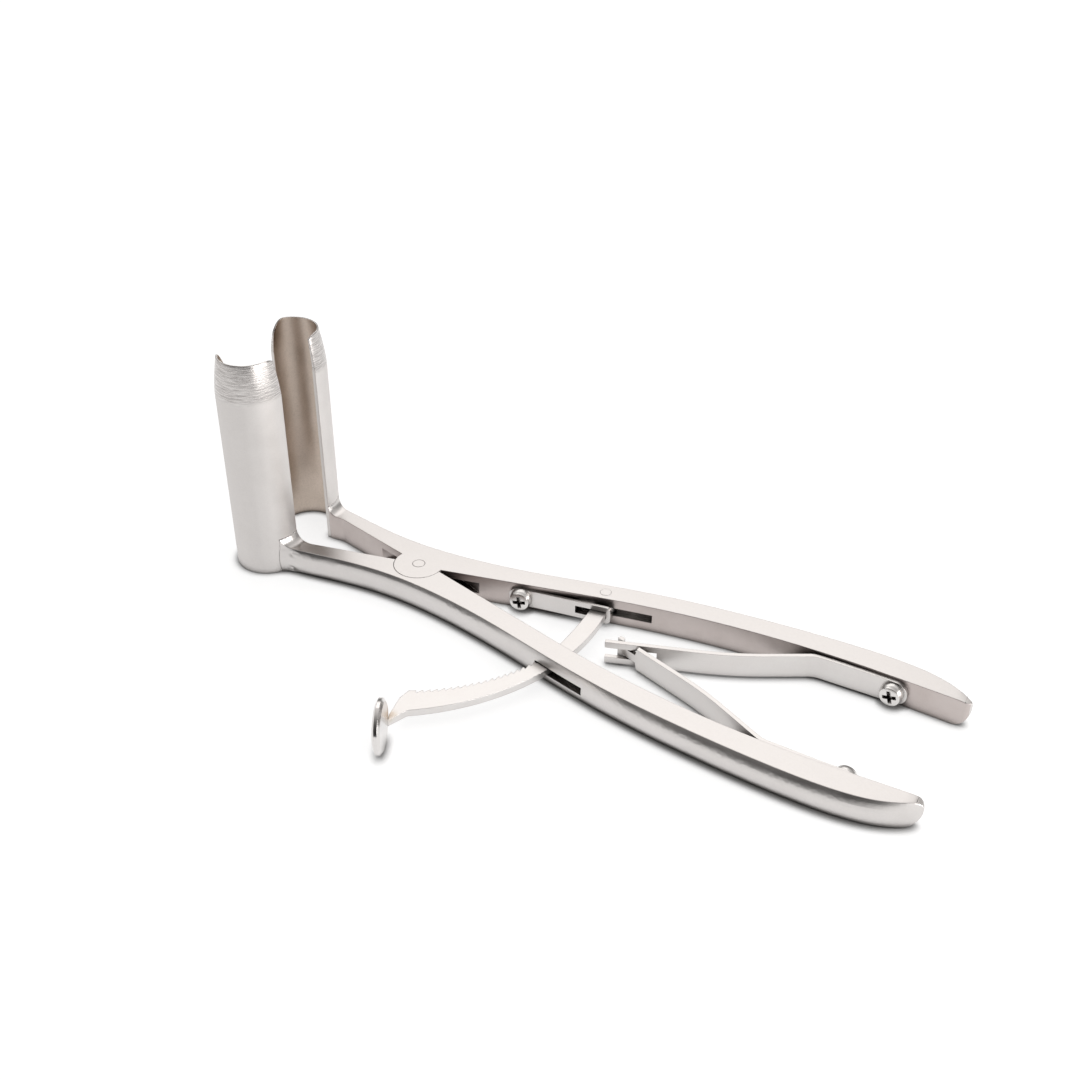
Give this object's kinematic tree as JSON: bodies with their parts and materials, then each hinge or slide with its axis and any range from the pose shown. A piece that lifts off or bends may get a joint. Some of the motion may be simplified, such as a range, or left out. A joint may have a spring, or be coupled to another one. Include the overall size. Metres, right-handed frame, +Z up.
{
  "type": "dilating forceps",
  "caption": "Dilating forceps with two half-tube blades, a box joint, a toothed ratchet bar with a thumb plate, and interlocked handle springs.",
  "frame": {"origin": "pivot axis of the box joint, at the underside that the arms lie on", "axes": "+Z up along the blades and the pivot, +X from the pivot to the handle ends between the arms, +Y towards the arm that carries the ratchet bar's pin"},
  "size_m": [0.2058, 0.0948, 0.065],
  "materials": {
    "satin_steel": "bead-blasted satin stainless steel",
    "blade_steel": "satin stainless steel with a ground band at the tip",
    "ratchet_steel": "satin stainless steel with a heat tint at the brazed neck",
    "polished_steel": "polished stainless steel",
    "spring_steel": "satin faces with polished edges",
    "screw_steel": "bright stainless screws"
  },
  "bodies": {
    "front_arm_body": {"front_arm": "satin_steel", "front_blade": "blade_steel", "front_handle_spring": "spring_steel", "front_spring_screw": "screw_steel"},
    "back_arm_body": {"back_arm": "satin_steel", "back_blade": "blade_steel", "pivot_rivet": "satin_steel", "ratchet_pin": "satin_steel", "ratchet_spring": "spring_steel", "ratchet_spring_screw": "screw_steel", "back_handle_spring": "spring_steel", "back_spring_screw": "screw_steel"},
    "ratchet": {"ratchet_bar": "ratchet_steel", "thumb_plate": "polished_steel"}
  },
  "joints": [
    {"name": "arm_pivot", "type": "hinge", "parent": "front_arm_body", "child": "back_arm_body", "pos_m": [0, 0, 0.004], "axis": [0, 0, 1], "range_deg": [-4, 22], "deforming": ["back_handle_spring", "front_handle_spring"]},
    {"name": "ratchet_release", "type": "hinge", "parent": "back_arm_body", "child": "ratchet", "pos_m": [0.0515, 0.0145, 0.004], "axis": [0, 0, 1], "range_deg": [-0.8, 10], "stiffness_Nm_per_rad": 0.02, "springref_deg": -0.57, "deforming": ["ratchet_spring"]}
  ]
}
